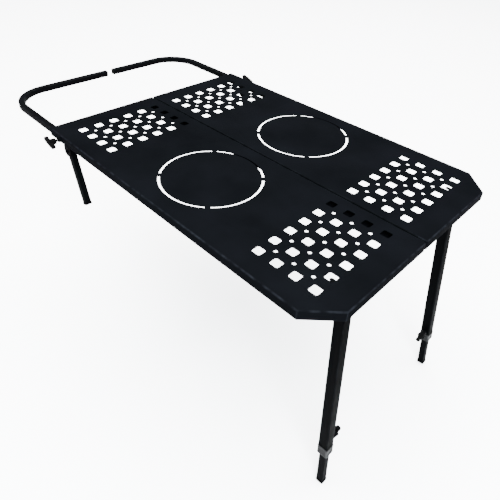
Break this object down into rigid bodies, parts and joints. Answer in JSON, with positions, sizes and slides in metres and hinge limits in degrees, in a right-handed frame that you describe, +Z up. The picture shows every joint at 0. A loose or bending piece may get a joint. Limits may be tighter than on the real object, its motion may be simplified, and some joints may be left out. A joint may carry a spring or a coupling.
{
  "type": "tire-mounted camp table",
  "caption": "Folding perforated steel camp table that hangs on a vehicle tire by two bent square-tube arms and stands on two telescoping front legs",
  "frame": {"origin": "in the plane of the seam between the two halves, at the table's back edge, level with the underside of the tire arms, where the tire carries the table", "axes": "+X is the table's width to the right, +Y points from the user's end to the tire along the table's length, +Z is up"},
  "size_m": [0.807, 1.3728, 0.6438],
  "materials": {
    "powder_coat": "satin black powder coat with a fine texture",
    "tube_coat": "satin black powder coat on square steel tube",
    "black_nylon": "moulded black nylon, lightly textured",
    "gray_nylon": "moulded dark gray nylon",
    "rubber": "matt black rubber",
    "dark_steel": "blackened steel"
  },
  "bodies": {
    "left_half": {"left_top": "powder_coat", "seam_hinge_leaf_left": "dark_steel", "arm_receiver_left": "tube_coat", "arm_nut_left": "dark_steel", "leg_bracket_left": "tube_coat", "leg_bolt_left": "dark_steel", "post_bracket_left": "tube_coat", "post_bolt_left": "dark_steel", "seam_hinge_pin": "dark_steel"},
    "arm_assembly_left": {"arm_left": "tube_coat", "arm_cap_left": "black_nylon"},
    "arm_clamp_left": {"arm_knob_left": "black_nylon", "arm_screw_left": "dark_steel"},
    "leg_assembly_left": {"leg_left": "tube_coat", "leg_collar_left": "gray_nylon", "leg_nut_left": "dark_steel"},
    "leg_slider_left": {"inner_leg_left": "tube_coat", "foot_left": "rubber"},
    "leg_clamp_left": {"leg_knob_left": "black_nylon", "leg_screw_left": "dark_steel"},
    "post_assembly_left": {"post_left": "tube_coat", "post_cap_left": "rubber"},
    "right_half": {"right_top": "powder_coat", "seam_hinge_leaf_right": "dark_steel", "arm_receiver_right": "tube_coat", "arm_nut_right": "dark_steel", "leg_bracket_right": "tube_coat", "leg_bolt_right": "dark_steel", "post_bracket_right": "tube_coat", "post_bolt_right": "dark_steel"},
    "arm_assembly_right": {"arm_right": "tube_coat", "arm_cap_right": "black_nylon"},
    "arm_clamp_right": {"arm_knob_right": "black_nylon", "arm_screw_right": "dark_steel"},
    "leg_assembly_right": {"leg_right": "tube_coat", "leg_collar_right": "gray_nylon", "leg_nut_right": "dark_steel"},
    "leg_slider_right": {"inner_leg_right": "tube_coat", "foot_right": "rubber"},
    "leg_clamp_right": {"leg_knob_right": "black_nylon", "leg_screw_right": "dark_steel"},
    "post_assembly_right": {"post_right": "tube_coat", "post_cap_right": "rubber"}
  },
  "joints": [
    {"name": "table_fold", "type": "hinge", "parent": "left_half", "child": "right_half", "pos_m": [0, -0.51125, 0.02492], "axis": [0, -1, 0], "range_deg": [0, 175]},
    {"name": "arm_slide_left", "type": "slide", "parent": "left_half", "child": "arm_assembly_left", "axis": [0, 1, 0], "range_m": [-0.06, 0.1]},
    {"name": "arm_knob_turn_left", "type": "hinge", "parent": "left_half", "child": "arm_clamp_left", "pos_m": [-0.36575, -0.06, 0.00953], "axis": [-1, 0, 0], "continuous": true},
    {"name": "leg_fold_left", "type": "hinge", "parent": "left_half", "child": "leg_assembly_left", "pos_m": [-0.228, -0.9725, -0.00747], "axis": [0.9982, 0, -0.0593], "range_deg": [0, 96.1]},
    {"name": "leg_length_left", "type": "slide", "parent": "leg_assembly_left", "child": "leg_slider_left", "axis": [-0.059, -0.1063, -0.9926], "range_m": [-0.1, 0.18]},
    {"name": "leg_knob_turn_left", "type": "hinge", "parent": "leg_assembly_left", "child": "leg_clamp_left", "pos_m": [-0.24183, -1.0217, -0.46784], "axis": [0.9982, 0, -0.0593], "continuous": true},
    {"name": "post_fold_left", "type": "hinge", "parent": "left_half", "child": "post_assembly_left", "pos_m": [-0.35075, -0.088, -0.01968], "axis": [-1, 0, 0], "range_deg": [0, 73.5]},
    {"name": "arm_slide_right", "type": "slide", "parent": "right_half", "child": "arm_assembly_right", "axis": [0, 1, 0], "range_m": [-0.06, 0.1]},
    {"name": "arm_knob_turn_right", "type": "hinge", "parent": "right_half", "child": "arm_clamp_right", "pos_m": [0.36575, -0.06, 0.00953], "axis": [1, 0, 0], "continuous": true},
    {"name": "leg_fold_right", "type": "hinge", "parent": "right_half", "child": "leg_assembly_right", "pos_m": [0.228, -0.9725, -0.00747], "axis": [0.9982, 0, 0.0593], "range_deg": [0, 96.1]},
    {"name": "leg_length_right", "type": "slide", "parent": "leg_assembly_right", "child": "leg_slider_right", "axis": [0.059, -0.1063, -0.9926], "range_m": [-0.1, 0.18]},
    {"name": "leg_knob_turn_right", "type": "hinge", "parent": "leg_assembly_right", "child": "leg_clamp_right", "pos_m": [0.24183, -1.0217, -0.46784], "axis": [-0.9982, 0, -0.0593], "continuous": true},
    {"name": "post_fold_right", "type": "hinge", "parent": "right_half", "child": "post_assembly_right", "pos_m": [0.35075, -0.088, -0.01968], "axis": [-1, 0, 0], "range_deg": [0, 73.5]}
  ]
}
